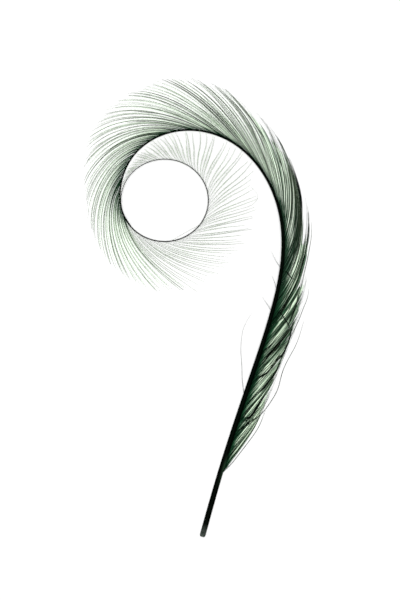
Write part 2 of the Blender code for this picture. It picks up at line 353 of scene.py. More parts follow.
def fan_point(place, t, lift=0.0):
    """Point of the barb field, a surface of place along the shaft and share t of the way to the tip.

    In plan a barb is a cubic curve that leaves the shaft's outer side at one angle and curls by another
    at its tip. Its height runs from the shaft's to the tip's by a power of the share that is left.
    """
    centre, heading, outward, root_height = on_shaft(place)
    tip_x, tip_y, leave_deg, curl_deg = (column(BARB_FAN, place, number) for number in range(1, 5))
    root = centre + outward * column(SHAFT_RADIUS, place)[..., None]
    tip = np.stack([tip_x, tip_y], axis=-1)
    chord = tip - root
    length = np.linalg.norm(chord, axis=-1, keepdims=True)
    near_root = root + turned(heading, leave_deg) * length * ROOT_HANDLE
    near_tip = tip - turned(chord / length, -curl_deg) * length * TIP_HANDLE
    gone = t[..., None]
    left = 1 - gone
    plan = left ** 3 * root + 3 * left ** 2 * gone * near_root + 3 * left * gone ** 2 * near_tip
    plan = plan + gone ** 3 * tip
    tip_height = column(TIP_HEIGHT, place)
    height = tip_height + (root_height - tip_height) * np.clip(1 - t, 0, 1) ** DROOP_POWER
    return np.concatenate([plan, np.maximum(height + lift, LOWEST)[..., None]], axis=-1)


def smooth_step(low, high, values):
    """Nought up to low, one from high on, and an even S between."""
    share = np.clip((values - low) / (high - low), 0, 1)
    return share * share * (3 - 2 * share)


def gathered(roots, t, centres, pull, start, end):
    """Places that strands follow in the field: from their root, drawn to their lock's centre."""
    return roots + (centres - roots) * pull * smooth_step(start, end, t)


def wavering(rng, strands, t, size):
    """Slow random sway along each strand, the sum of three waves, nought at its root."""
    phase = rng.uniform(0, 2 * np.pi, (strands, 3))
    swing = rng.normal(0, 1, (strands, 3)) * SWAY_SIZES
    waves = np.sin(phase[:, None] + t[..., None] * np.array(SWAY_QUARTERS) * np.pi / 2)
    return size * (waves * swing[:, None]).sum(-1) * t


def tube_corners(paths, across, upright):
    """Rings of corners round each path: an ellipse across it, upright to the floor.

    paths is strands by rings by 3, across and upright are the half width and half height there.
    """
    heading = unit(np.gradient(paths, axis=1))
    side = unit(np.cross(heading, (0.0, 0.0, 1.0)))
    up = np.cross(side, heading)
    angle = (np.arange(STRAND_SIDES) + 0.5) * 2 * np.pi / STRAND_SIDES
    offset = (side[:, :, None] * (across[:, :, None, None] * np.cos(angle)[:, None])
              + up[:, :, None] * (upright[:, :, None, None] * np.sin(angle)[:, None]))
    return (paths[:, :, None] + offset).reshape(-1, 3)


def strand_piece(name, paths, across, material, tone, pace=1.0, flatness=STRAND_FLATNESS):
    """Strands as closed tapering tubes, with their share along and their own tone as attributes.

    pace is how fast each strand's colour runs from root to tip.
    """
    strands, rings = paths.shape[:2]
    corners = tube_corners(paths, across, across * flatness)
    shade = np.linspace(0, 1, rings) * np.broadcast_to(pace, strands)[:, None]
    patterns = {"along": np.repeat(shade, STRAND_SIDES), "tone": np.repeat(tone, rings * STRAND_SIDES)}
    make_piece(name, corners, tube_triangles(strands, rings, STRAND_SIDES), patterns, material)


KERATIN_INPUTS = (("Share", "Float"), ("Root Color", "Color"), ("Middle Color", "Color"),
                  ("Tip Color", "Color"), ("Root Until", "Float"), ("Middle At", "Float"))
KERATIN_OUTPUTS = (("Color", "Color"), ("Roughness", "Float"))
# The range of a strand's tone and mottling together, and the strength that it gives the colour.
KERATIN_STRENGTH = (0.2, 1.6, 0.6, 1.5)
KERATIN_ROUGHNESS = (0.4, 0.75)
KERATIN_SPECULAR = 0.02


def keratin_group():
    """Shared finish of every hair: colour from root to tip, mottled, with each strand's own tone."""
    group = bpy.data.node_groups.new("strand_keratin", "ShaderNodeTree")
    for sockets, way in ((KERATIN_INPUTS, "INPUT"), (KERATIN_OUTPUTS, "OUTPUT")):
        for title, kind in sockets:
            group.interface.new_socket(name=title, in_out=way, socket_type="NodeSocket" + kind)
    given = node(group, "NodeGroupInput").outputs
    to_middle = spread(group, given["Share"], given["Root Until"], given["Middle At"])
    to_middle.node.interpolation_type = "SMOOTHSTEP"
    to_tip = spread(group, given["Share"], given["Middle At"])
    lower = mixed(group, to_middle, given["Root Color"], given["Middle Color"])
    upper = mixed(group, to_tip, lower, given["Tip Color"])
    where = node(group, "ShaderNodeTexCoord")
    noise = node(group, "ShaderNodeTexNoise", Vector=where.outputs["Object"], Scale=700.0, Detail=3.0)
    mottle = noise.outputs["Fac"]
    vary = node(group, "ShaderNodeMath", Value=mottle)
    vary.operation = "ADD"
    group.links.new(attribute(group, "tone"), vary.inputs[1])
    strength = spread(group, vary.outputs[0], *KERATIN_STRENGTH)
    shade = node(group, "ShaderNodeVectorMath")
    shade.operation = "SCALE"
    group.links.new(upper, shade.inputs[0])
    group.links.new(strength, shade.inputs["Scale"])
    rough = spread(group, mottle, 0.0, 1.0, *KERATIN_ROUGHNESS)
    node(group, "NodeGroupOutput", Color=shade.outputs[0], Roughness=rough)
    return group


strand_keratin = keratin_group()


def keratin(tree, share, colours, root_until, middle_at):
    """The shared finish placed in a material: its colours at root, middle and tip, and where they lie."""
    finish = tree.nodes.new("ShaderNodeGroup")
    finish.node_tree = strand_keratin
    root, middle, tip = ((*colour, 1) for colour in colours)
    fill(tree, finish, Share=share, Root_Color=root, Middle_Color=middle, Tip_Color=tip,
         Root_Until=root_until, Middle_At=middle_at)
    return finish.outputs


def hair_material(name, root, middle, tip, root_until, middle_at):
    """Matt hair of one kind, from the shared finish and its own three colours."""
    material, tree, shader = new_material(name)
    finish = keratin(tree, attribute(tree, "along"), (root, middle, tip), root_until, middle_at)
    fill(tree, shader, Base_Color=finish["Color"], Roughness=finish["Roughness"],
         Specular_IOR_Level=KERATIN_SPECULAR)
    return material


VANE_FROM = 22.5
VANE_TO = 114.0
VANE_PITCH = 0.5
VANE_STRAY = 0.2
VANE_SWAY = 0.15
VANE_HEIGHT_SWAY = 0.06
VANE_REACH_SPREAD = 0.02
VANE_REACH_LIMIT = 1.04
# The places between which each lock's barbs stand. A lock draws to its point so strongly, from and up to
# these shares of its length, and it is tilted so that its far side dips under the next lock.
VANE_LOCKS = np.array([22.4, 27.0, 36.0, 40.5, 49.0, 55.0, 60.5, 66.5, 72.8, 78.0, 83.0, 88.0, 93.0, 98.0,
                       104.0, 110.0, 114.0])
LOCK_POINT = 0.5
LOCK_DRAW = (0.3, 0.35, 1.0)
LOCK_TILT = 0.4
LOCK_TILTED_BY = 0.3
# Half width of a barb at shares of the web's reach, and how wide it is beside others at places.
VANE_WIDTH = [(0, 0.05), (0.4, 0.046), (0.85, 0.036), (1.0, 0.012), (1.3, 0.005)]
VANE_WIDTH_AT = [(72, 1.0), (73, 0.8), (78, 0.8), (83, 1.0), (83.3, 0.55), (87.7, 0.55), (88, 1.0)]
VANE_WIDTH_SPREAD = (0.75, 1.3)
ROOT_SWELL = 0.15
ROOT_SWELL_SHARE = 0.12
# How fast a barb's colour runs from root to tip, and how far along it the web reaches, at places.
SHADE_PACE = [(22.5, 1.8), (46, 1.7), (51, 1.1), (56, 1.4), (61, 1.8), (66, 1.3), (70, 1.3), (75, 0.9),
              (80, 1.5), (84, 2.0), (90, 1.2), (97, 2.0), (112, 2.5)]
WEB_REACH = [(22.5, 0.9), (28, 0.69), (34, 0.68), (36, 0.72), (40, 0.74), (56, 0.79), (66, 0.83), (70, 0.79),
             (72.7, 0.54), (72.9, 0.82), (76, 0.84), (78, 0.74), (82.8, 0.5), (83.1, 1.0), (90, 1.0),
             (92.9, 0.95), (93.1, 0.86), (98, 0.74), (104, 0.7), (109, 0.64), (111, 0.71), (114, 0.8)]
# Neighbouring barbs run together into dark lines. One barb leads each line with a weight of its own.
LINES_FROM = 22.0
LINES_TO = 201.0
LINE_STEP = 0.25
LINE_PITCH = [(22, 1.5), (76, 1.5), (84, 1.15), (108, 1.15), (116, 1.5), (201, 1.5)]
LINES = 160
LINE_JOG = 0.3
LINE_WEIGHTS = (0.5, 0.9, 1.5, 2.9)
FOLLOWER_WIDTH = 0.45
BUNDLE_PULL = 0.8
BUNDLED_FROM = 0.05
BUNDLED_BY = 0.4

line_places = np.arange(LINES_FROM, LINES_TO, LINE_STEP)
line_numbers = np.cumsum(LINE_STEP / column(LINE_PITCH, line_places))


def drawn_together(roots, jog):
    """The line that each root's barb joins with its neighbours: its number, and its place on the shaft."""
    number = np.round(np.interp(roots, line_places, line_numbers)).astype(int)
    return number, np.interp(number + jog[number], line_numbers, line_places)


def leading(rng, roots, numbers, lines):
    """Width of each barb beside the others: the one nearest its line has the line's weight."""
    weight = rng.choice(LINE_WEIGHTS, LINES)[numbers]
    return np.where(np.abs(roots - lines) < VANE_PITCH / 2, weight, FOLLOWER_WIDTH)[:, None]


def vane_paths(rng, roots, bundle):
    """Barbs of the lower vane: the field's lines, drawn into locks that overlap like tiles."""
    lock = np.clip(np.searchsorted(VANE_LOCKS, roots) - 1, 0, len(VANE_LOCKS) - 2)
    low, high = VANE_LOCKS[lock], VANE_LOCKS[lock + 1]
    share = np.clip((roots - low) / (high - low), 0, 1)
    point = low + (high - low) * LOCK_POINT
    follow = gathered(roots[:, None], along, point[:, None], *LOCK_DRAW)
    follow = follow + (bundle - roots)[:, None] * BUNDLE_PULL * smooth_step(BUNDLED_FROM, BUNDLED_BY, along)
    follow = follow + wavering(rng, len(roots), along, VANE_SWAY)
    follow = np.clip(follow, low[:, None], high[:, None])
    reach = 1 + rng.normal(0, VANE_REACH_SPREAD, len(roots))
    lift = LOCK_TILT * (0.5 - share)[:, None] * smooth_step(0, LOCK_TILTED_BY, along)
    lift = lift + wavering(rng, len(roots), along, VANE_HEIGHT_SWAY)
    return fan_point(follow, np.clip(along * reach[:, None], 0, VANE_REACH_LIMIT), lift)


rng = np.random.default_rng(11)
vane_roots = np.arange(VANE_FROM, VANE_TO, VANE_PITCH)
vane_roots = vane_roots + rng.uniform(-VANE_STRAY, VANE_STRAY, len(vane_roots))
line_number, bundle = drawn_together(vane_roots, rng.uniform(-LINE_JOG, LINE_JOG, LINES))
barb_paths = vane_paths(rng, vane_roots, bundle)
vane_tone = rng.uniform(0, 1, len(vane_roots))
vane_pace = column(SHADE_PACE, vane_roots)
web_share = along / column(WEB_REACH, vane_roots)[:, None]
swell = 1 + ROOT_SWELL * np.exp(-along * vane_pace[:, None] / ROOT_SWELL_SHARE)
across = column(VANE_WIDTH, web_share) * swell * rng.uniform(*VANE_WIDTH_SPREAD, (len(vane_roots), 1))
across = across * leading(rng, vane_roots, line_number, bundle)
across = across * column(VANE_WIDTH_AT, vane_roots)[:, None]
vane_hair = hair_material("vane_barb", (0.0004, 0.007, 0.0028), (0.0052, 0.018, 0.0082), (0.06, 0.09, 0.056),
                          0.05, 0.5)
strand_piece("lower_vane_barbs", barb_paths, across, vane_hair, vane_tone, vane_pace)

# The lower vane's web
# Hooked together, the barbs of a lock close to one thin skin: dark teal by the shaft, pale grey-green and
# finely streaked farther out, with painted shade along its lower edge where the locks overlap. One closed
# sheet for each lock.
WEB_COLUMNS = 24
WEB_THICKNESS = 0.02
WEB_DROP = 0.12
WEB_RAGGED = 0.05
LOCK_GAP = 0.05
WEB_DEEP = (0.0005, 0.009, 0.0034)
WEB_TEAL = (0.034, 0.093, 0.05)
WEB_PALE = (0.64, 0.76, 0.6)
WEB_ROUGHNESS = 0.7
STREAKS_PER_LINE = 1.5
# Each of the two patterns: its range, and how much it darkens or lightens the web.
STREAK_RANGE = (0.38, 0.58, 0.05, 1.3)
PATCH_RANGE = (0.35, 0.65, 0.78, 1.28)
# The web is greener on the straight side than at the bend, where its grey begins between these places.
GREYER_PLACES = (78.0, 90.0)
GREYER_SATURATION = (1.15, 0.84)
# The shade along a barb, the tone across a lock, whose darker edges are painted shade where the locks
# overlap, and the tone by the shaft at places.
WEB_SHADE = [(0, 0.02), (0.05, 0.1), (0.12, 0.3), (0.25, 0.7), (0.45, 1.0)]
WEB_ACROSS_EDGE_SHADE = [(0, 0.25), (0.12, 0.5), (0.3, 0.9), (0.5, 1.0), (0.8, 0.95), (1.0, 0.7)]
WEB_ROOT_TONE = [(90, 0.8), (96, 1.1), (114, 1.15)]
OFF_SHAFT = (0.05, 0.3)
# How pale each lock's panel is, how pale its point is, and the share of its length where the point begins.
WEB_LOCK_TONE = [(1.05, 1.6, 0.6), (1.25, 1.6, 0.55), (1.1, 0.5, 0.55), (1.15, 0.8, 0.5), (1.9, 1.1, 0.5),
                 (1.2, 0.4, 0.45), (0.95, 0.5, 0.5), (1.15, 1.0, 0.5), (2.2, 2.2, 0.4), (1.3, 0.7, 0.45),
                 (4.5, 0.05, 0.62), (0.5, 0.15, 0.3), (0.6, 0.6, 0.5), (1.1, 0.8, 0.5), (1.1, 1.7, 0.5),
                 (1.9, 1.1, 0.5)]
TIP_FADE = 0.12


def sheet_mesh(top):
    """Corners and triangles of a closed sheet: a grid of points, the same grid lower, and its rim."""
    rows, columns = top.shape[:2]
    under = top - [0, 0, WEB_THICKNESS]
    corner = np.arange(rows * columns).reshape(rows, columns)
    a, b = corner[:-1, :-1].ravel(), corner[:-1, 1:].ravel()
    c, d = corner[1:, 1:].ravel(), corner[1:, :-1].ravel()
    face = np.concatenate([np.stack([a, b, c], 1), np.stack([a, c, d], 1)])
    rim = np.concatenate([corner[0, :-1], corner[:-1, -1], corner[-1, :0:-1], corner[:0:-1, 0]])
    after = np.roll(rim, -1)
    low = rows * columns
    wall = np.concatenate([np.stack([rim, rim + low, after + low], 1),
                           np.stack([rim, after + low, after], 1)])
    corners = np.concatenate([top.reshape(-1, 3), under.reshape(-1, 3)])
    return corners, np.concatenate([face, face[:, ::-1] + low, wall])


def streak_number(places):
    """How many streaks of the web lie below each place."""
    return STREAKS_PER_LINE * np.interp(places, line_places, line_numbers)


def web_skin():
    """Thin matt skin, streaked along the barbs, that runs from near black by the shaft through teal."""
    material, tree, shader = new_material("vane_web")
    place = attribute(tree, "place")
    run = attribute(tree, "along")
    lengthwise = node(tree, "ShaderNodeCombineXYZ", X=place, Y=run).outputs[0]
    streaks = node(tree, "ShaderNodeTexNoise", Vector=lengthwise, Scale=0.85, Detail=2.5, Roughness=0.75)
    patches = node(tree, "ShaderNodeTexNoise", Vector=lengthwise, Scale=0.21, Detail=1.0)
    streaked = product(tree, spread(tree, streaks.outputs["Fac"], *STREAK_RANGE),
                       spread(tree, patches.outputs["Fac"], *PATCH_RANGE))
    paleness = product(tree, run, product(tree, attribute(tree, "tone"), streaked))
    finish = keratin(tree, paleness, (WEB_DEEP, WEB_TEAL, WEB_PALE), -0.05, 0.25)
    greyer = spread(tree, place, *streak_number(GREYER_PLACES), *GREYER_SATURATION)
    greyed = node(tree, "ShaderNodeHueSaturation", Color=finish["Color"], Saturation=greyer)
    fill(tree, shader, Base_Color=greyed.outputs["Color"], Roughness=WEB_ROUGHNESS,
         Specular_IOR_Level=KERATIN_SPECULAR)
    return material


rng = np.random.default_rng(17)
web_corners, web_triangles = [], []
web_patterns = {"along": [], "place": [], "tone": []}
offset = 0
share = np.linspace(0, 1, WEB_COLUMNS)
for low, high, (panel_tone, point_tone, point_from) in zip(VANE_LOCKS[:-1], VANE_LOCKS[1:], WEB_LOCK_TONE):
    places = np.linspace(max(low, VANE_FROM), high - LOCK_GAP, WEB_COLUMNS)
    ragged = 1 + rng.normal(0, WEB_RAGGED, WEB_COLUMNS)
    t = along * (column(WEB_REACH, places) * ragged)[:, None]
    follow = gathered(places[:, None], t, low + (high - low) * LOCK_POINT, *LOCK_DRAW)
    under_next = (0.5 - share)[:, None] * smooth_step(0, LOCK_TILTED_BY, t)
    grid = fan_point(follow, t, LOCK_TILT * under_next - WEB_DROP)
    corners, triangles = sheet_mesh(grid.transpose(1, 0, 2)[:, ::-1])
    web_corners.append(corners)
    web_triangles.append(triangles + offset)
    offset += len(corners)
    at_point = smooth_step(point_from - TIP_FADE, point_from + TIP_FADE, t)
    lock_tone = panel_tone + (point_tone - panel_tone) * at_point
    off_shaft = smooth_step(*OFF_SHAFT, t)
    root_tone = column(WEB_ROOT_TONE, places)[:, None]
    # The tone across a lock darkens its edges: painted shade where the locks overlap.
    tone = lock_tone * column(WEB_ACROSS_EDGE_SHADE, share)[:, None] * off_shaft + root_tone * (1 - off_shaft)
    patterns = {"along": column(WEB_SHADE, t * column(SHADE_PACE, places)[:, None]),
                "place": streak_number(places)[:, None] + 0 * t,
                "tone": tone}
    for title, values in patterns.items():
        web_patterns[title].append(np.tile(values.T[:, ::-1].ravel(), 2))
web_patterns = {title: np.concatenate(values) for title, values in web_patterns.items()}
make_piece("lower_vane_web", np.concatenate(web_corners), np.concatenate(web_triangles), web_patterns,
           web_skin())

# The lower vane's barbules
# Each barb carries two rows of tiny hooks, leaning forward, that zip it to its neighbours. Together
# they make the grey-green web between the barbs.
BARBULE_STRAY = 0.4
BARBULE_LEAN_SPREAD = 7
BARBULE_TILT = 0.12
BARBULE_LENGTH_SPREAD = (0.7, 1.2)
BARBULE_WIDTH_SPREAD = (0.8, 1.2)
BARBULE_KEEL = 1.2
BARBULE_LOWEST = 0.01
HEADING_STEP = 0.3
# Length and width of a barbule at shares of the barb's length.
VANE_BARBULE_LENGTH = [(0, 0.3), (0.7, 0.35), (1, 0.2)]
VANE_BARBULE_WIDTH = [(0, 0.05), (0.5, 0.04), (1, 0.03)]
PAST_WEB = 0.04


def at_path(path, at, places):
    """Points of one path, whose rings lie at the lengths at, read at any places along it."""
    return np.stack([np.interp(places, at, path[:, k]) for k in range(3)], axis=1)


def barbule_piece(name, paths, rng, spacing, length, width, lean_deg, material, first=0.0, last=1.0,
                  grown=1.0, pace=1.0):
    """Rows of thin three-sided spikes on both sides of each path, closed at the base.

    length and width are tables over the share along the barb, and spacing is in mm. first and last are
    the shares at which each barb's rows begin and end, grown is how long its barbules are beside the
    table's, and pace is how fast the colour runs from root to tip.
    """
    last, grown, pace = (np.broadcast_to(each, len(paths)) for each in (last, grown, pace))
    steps = np.linalg.norm(np.diff(paths, axis=1), axis=-1)
    reached = np.concatenate([np.zeros((len(paths), 1)), np.cumsum(steps, axis=1)], axis=1)
    bases, headings, shares, owners = [], [], [], []
    for number, (path, at) in enumerate(zip(paths, reached)):
        places = np.arange(at[-1] * first, at[-1] * last[number], spacing)
        places = places + rng.uniform(-BARBULE_STRAY, BARBULE_STRAY, len(places)) * spacing
        bases.append(at_path(path, at, places))
        headings.append(at_path(path, at, places + HEADING_STEP) - at_path(path, at, places - HEADING_STEP))
        shares.append(places / at[-1])
        owners.append(np.full(len(places), number))
    base, heading, share, owner = (np.concatenate(each + each) for each in (bases, headings, shares, owners))
    heading = unit(heading)
    count = len(base)
    side = np.repeat([1.0, -1.0], count // 2)
    across = np.stack([heading[:, 1], -heading[:, 0], np.zeros(count)], axis=1) * side[:, None]
    lean = np.radians(lean_deg + rng.normal(0, BARBULE_LEAN_SPREAD, count))[:, None]
    out = heading * np.cos(lean) + across * np.sin(lean)
    out[:, 2] += rng.normal(0, BARBULE_TILT, count)
    reach = column(length, share) * grown[owner] * rng.uniform(*BARBULE_LENGTH_SPREAD, count)
    half = (column(width, share) * rng.uniform(*BARBULE_WIDTH_SPREAD, count) / 2)[:, None]
    square = np.stack([out[:, 1], -out[:, 0], np.zeros(count)], axis=1)
    keel = [0, 0, 1] * half * BARBULE_KEEL
    corners = np.stack([base + square * half, base - square * half, base + keel,
                        base + out * reach[:, None]], axis=1)
    corners[:, :, 2] = np.maximum(corners[:, :, 2], BARBULE_LOWEST)
    faces = np.array([(0, 1, 2), (1, 0, 3), (2, 1, 3), (0, 2, 3)])
    triangles = (np.arange(count)[:, None, None] * 4 + faces).reshape(-1, 3)
    tone = rng.uniform(0, 1, len(paths))[owner] * 0.5 + rng.uniform(0, 0.5, count)
    patterns = {"along": np.repeat(share * pace[owner], 4), "tone": np.repeat(tone, 4)}
    make_piece(name, corners.reshape(-1, 3), triangles, patterns, material)


vane_web = hair_material("vane_barbule", (0.0014, 0.016, 0.007), (0.048, 0.12, 0.062), (0.6, 0.74, 0.56),
                         0.1, 0.35)
web_ends = column(WEB_REACH, vane_roots) + PAST_WEB
barbule_piece("lower_vane_barbules", barb_paths[::2], rng, 0.3, VANE_BARBULE_LENGTH, VANE_BARBULE_WIDTH, 24,
              vane_web, first=0.4, last=web_ends[::2], pace=vane_pace[::2])

# The locks' dark edges
# Where a lock's lower barbs run together they make a black line, from the shaft to the lock's point. Each
# line is a sheaf of barbs from neighbouring roots, and lies on top of the web. Their colour is darker than
# the other barbs': real dark barbs, darkened further by painted shade where the locks overlap.

# Root place, number of barbs, share of the way from which the line is dark, and its points up to its tip.
LOCK_EDGES = [
    (25.5, 3, 0.7, [(11.3, -49.2), (14.3, -45.2), (16.7, -41.8), (18.7, -38.5), (20.0, -35.5)]),
    (35.5, 5, 0.1, [(12.7, -40.8), (14.3, -39.5), (17.3, -37.2), (20.0, -35.5)]),
    (39.5, 8, 0.1, [(14.0, -37.2), (16.0, -36.5), (18.0, -34.5), (20.3, -30.8), (22.7, -27.2)]),
    (41.0, 4, 0.2, [(14.7, -35.2), (17.0, -32.5), (20.3, -29.2), (22.3, -26.5)]),
    (47.0, 6, 0.3, [(19.3, -28.2), (21.3, -26.5), (23.3, -23.8), (25.0, -21.5), (26.7, -17.8),
                    (28.3, -14.2)]),
    (54.0, 7, 0.1, [(18.3, -23.5), (21.3, -22.0), (23.3, -20.2), (25.3, -17.5), (27.0, -14.5)]),
    (52.5, 6, 0.5, [(21.0, -21.6), (25.0, -17.8), (27.7, -15.2), (29.0, -12.5), (30.0, -9.8), (30.7, -6.5),
                    (31.5, -3.5)]),
    (59.5, 8, 0.2, [(22.0, -16.2), (24.7, -13.3), (26.7, -10.8), (28.7, -8.2), (30.0, -5.5)]),
    (58.0, 4, 0.4, [(23.3, -15.8), (26.0, -12.8), (28.0, -9.8), (30.0, -7.2), (31.5, -3.0)]),
    (62.5, 5, 0.1, [(21.0, -14.5), (22.3, -13.2), (24.0, -11.8), (27.0, -8.5)]),
    (71.5, 3, 0.2, [(24.3, -5.5), (27.0, -3.5), (29.3, -1.2), (31.0, 2.2), (32.7, 5.2), (33.3, 7.5)]),
    (72.5, 5, 0.1, [(25.0, -3.8), (27.7, 0.2), (29.9, 4.2), (32.1, 8.5), (33.9, 13.8), (35.5, 20.2),
                    (36.3, 27.8), (36.3, 32.2)]),
    (84.0, 12, 0.64, [(28.0, 8.0), (29.7, 11.5), (31.7, 16.8), (33.2, 22.8), (33.8, 29.5), (33.7, 36.2),
                      (32.0, 43.8), (29.3, 50.2)]),
    (88.0, 3, 0.2, [(28.7, 11.0), (30.2, 14.5), (32.0, 21.5), (33.0, 28.5), (32.9, 35.5), (31.8, 41.0),
                    (30.0, 46.5)]),
    (92.0, 3, 0.3, [(29.0, 14.0), (29.8, 17.5), (31.3, 24.0), (32.3, 31.0), (32.2, 37.5), (31.0, 43.0),
                    (29.5, 47.5)]),
    (93.0, 2, 0.6, [(30.2, 23.0), (31.8, 31.2), (31.8, 39.5), (30.7, 45.5), (29.0, 49.5), (28.0, 52.2),
                    (26.0, 56.8)]),
    (100.0, 2, 0.6, [(29.2, 28.0), (29.5, 34.5), (29.3, 39.5), (28.7, 43.5), (26.3, 50.5), (25.0, 55.2),
                     (22.3, 61.8)]),
    (112.0, 3, 0.58, [(26.7, 39.5), (24.7, 46.2), (22.7, 53.5), (20.7, 58.2), (18.0, 62.2), (13.3, 68.2),
                      (8.7, 73.2)]),
    (113.5, 3, 0.6, [(26.0, 40.0), (23.7, 47.0), (21.2, 54.5), (19.3, 58.8), (16.7, 63.2)]),
    (115.0, 3, 0.58, [(25.2, 40.5), (22.7, 47.8), (20.7, 52.8), (19.0, 56.8), (16.7, 61.8), (12.0, 68.2),
                      (8.3, 71.8)]),
    (63.0, 7, 0.6, [(24.0, -12.5), (27.2, -8.8), (29.5, -5.2), (31.2, -1.4), (32.5, 2.4), (33.2, 6.8)]),
]
# Three more are snapped, and lie back across the web.
SNAPPED = [(91.0, 5, 0.3, [(28.7, 12.5), (29.8, 11.3), (31.3, 9.8)]),
           (74.0, 4, 0.4, [(26.5, -1.0), (28.3, -3.2), (29.0, -4.2), (29.7, -5.5), (30.0, -7.2)]),
           (110.0, 1, 0.1, [(28.5, 30.6), (30.9, 30.4), (33.3, 30.5)])]
SHEAF_ROOT_PITCH = 0.45
SHEAF_RISE = 0.45
SHEAF_END_HEIGHT = 0.42
SHEAF_HEIGHT_SPREAD = 0.06
SHEAF_SWAY = 0.04
SHEAF_CLOSED_BY = 0.3
# Half the gap between its barbs and their half width, at shares of their length.
SHEAF_SPREAD = [(0, 0.0), (0.25, 0.08), (0.6, 0.08), (0.85, 0.06), (1.0, 0.14)]
SHEAF_WIDTH = [(0, 0.05), (0.3, 0.06), (0.8, 0.06), (1.0, 0.012)]
SHEAF_WIDTH_SPREAD = (0.8, 1.2)
SHEAF_FAINT = 0.25
SHEAF_DARKENS_OVER = 0.1


def sheaf(rng, root, barbs, points, rise, looseness=1.0):
    """Paths of a few barbs from neighbouring roots that run together along one traced line."""
    number = np.arange(barbs) - (barbs - 1) / 2
    places = root + number * SHEAF_ROOT_PITCH
    centre, _, outward, height = on_shaft(places)
    start = centre + outward * column(SHAFT_RADIUS, places)[:, None]
    middle = natural_spline([start.mean(axis=0)] + points, STRAND_RINGS)
    run = unit(np.gradient(middle, axis=0))
    across = np.stack([run[:, 1], -run[:, 0]], axis=1)
    off_root = (start - start.mean(axis=0))[:, None] * (1 - smooth_step(0, SHEAF_CLOSED_BY, along))[:, None]
    aside = -number[:, None] * column(SHEAF_SPREAD, along) * looseness
    aside = aside + wavering(rng, barbs, along, SHEAF_SWAY)
    plan = middle + off_root + across * aside[..., None]
    level = SHEAF_END_HEIGHT + (height[:, None] - SHEAF_END_HEIGHT) * (1 - along) ** DROOP_POWER
    level = level + rise * 4 * along * (1 - along)
    level = level + rng.uniform(-SHEAF_HEIGHT_SPREAD, SHEAF_HEIGHT_SPREAD, barbs)[:, None] * along
    return np.concatenate([plan, level[..., None]], axis=-1)


rng = np.random.default_rng(5)
sheaf_paths = [sheaf(rng, root, barbs, points, SHEAF_RISE) for root, barbs, _, points in LOCK_EDGES]
for root, barbs, _, points in SNAPPED:
    snapped_path = sheaf(rng, root, barbs, points, 0.0)
    snapped_path[..., 2] = on_shaft(np.array([root]))[3]
    sheaf_paths.append(snapped_path)
sheaf_paths = np.concatenate(sheaf_paths)
dark_from = np.concatenate([np.full(barbs, share) for _, barbs, share, _ in LOCK_EDGES + SNAPPED])[:, None]
darkened = smooth_step(dark_from - SHEAF_DARKENS_OVER, dark_from + SHEAF_DARKENS_OVER, along)
across = column(SHEAF_WIDTH, along) * (SHEAF_FAINT + (1 - SHEAF_FAINT) * darkened)
across = across * rng.uniform(*SHEAF_WIDTH_SPREAD, (len(sheaf_paths), 1))
# The sheaf barbs are coloured darker than the other barbs: partly their own dark, partly painted shade of
# the overlap.
sheaf_hair_and_shade = hair_material("lock_edge_barb_and_shade", (0.0002, 0.0015, 0.0009), (0.002, 0.005, 0.003),
                           (0.02, 0.03, 0.02), 0.3, 0.8)
strand_piece("lock_edges", sheaf_paths, across, sheaf_hair_and_shade, rng.uniform(0, 1, len(sheaf_paths)))

# The curl's long barbs
# Above the vane the hooks let go, so the barbs part into single dark hairs, in twos and threes, that sweep
# round outside the curl and thin to nothing.
CURL_TO = 200.0
CURL_PITCH = 0.5
CURL_STRAY = 0.25
CURL_SWAY = 0.2
CURL_HEIGHT_SWAY = 0.06
CURL_REACH_SPREAD = 0.03
CURL_REACH_LIMIT = 1.05
CURL_DRAW = (0.85, -0.1, 0.18)
# Half width of a barb at shares of its length, and how wide it is beside others at places.
CURL_WIDTH = [(0, 0.05), (0.35, 0.05), (0.85, 0.042), (1.0, 0.014)]
CURL_WIDTH_AT = [(112, 1.15), (125, 1.1), (140, 0.95), (160, 0.8), (175, 0.6), (200, 0.5)]
CURL_WIDTH_SPREAD = (0.7, 1.25)
# How much of the way to its neighbour a barb's root covers, at places, and where it ends along the barb.
ROOT_COVER = [(114, 0.3), (130, 0.4), (145, 0.62), (156, 0.32), (172, 0.55), (180, 0.7), (190, 0.65),
              (200, 0.4)]
ROOT_WIDEST = 0.1
ROOT_COVERS = (0.05, 0.4)
CURL_PACE = [(114, 1.4), (122, 1.4), (130, 1.4), (140, 1.7), (160, 1.7), (172, 1.5), (178, 1.0), (185, 0.45),
             (190, 0.7), (195, 1.0), (200, 1.7)]

rng = np.random.default_rng(23)
curl_roots = np.arange(VANE_TO, CURL_TO, CURL_PITCH)
curl_count = len(curl_roots)
curl_roots = curl_roots + rng.uniform(-CURL_STRAY, CURL_STRAY, curl_count)
line_number, bundle = drawn_together(curl_roots, rng.uniform(-LINE_JOG, LINE_JOG, LINES))
follow = gathered(curl_roots[:, None], along, bundle[:, None], *CURL_DRAW)
follow = follow + wavering(rng, curl_count, along, CURL_SWAY)
reach = 1 + rng.normal(0, CURL_REACH_SPREAD, curl_count)
curl_t = np.clip(along * reach[:, None], 0, CURL_REACH_LIMIT)
curl_paths = fan_point(follow, curl_t, wavering(rng, curl_count, along, CURL_HEIGHT_SWAY))
leaving = np.radians(column(BARB_FAN, curl_roots, 3))[:, None]
root_width = np.minimum(column(ROOT_COVER, curl_roots)[:, None] * CURL_PITCH * np.sin(leaving), ROOT_WIDEST)
across = column(CURL_WIDTH, along)[None] * column(CURL_WIDTH_AT, curl_roots)[:, None]
across = root_width + (across - root_width) * smooth_step(*ROOT_COVERS, along)
across = across * rng.uniform(*CURL_WIDTH_SPREAD, (curl_count, 1))
across = across * leading(rng, curl_roots, line_number, bundle)
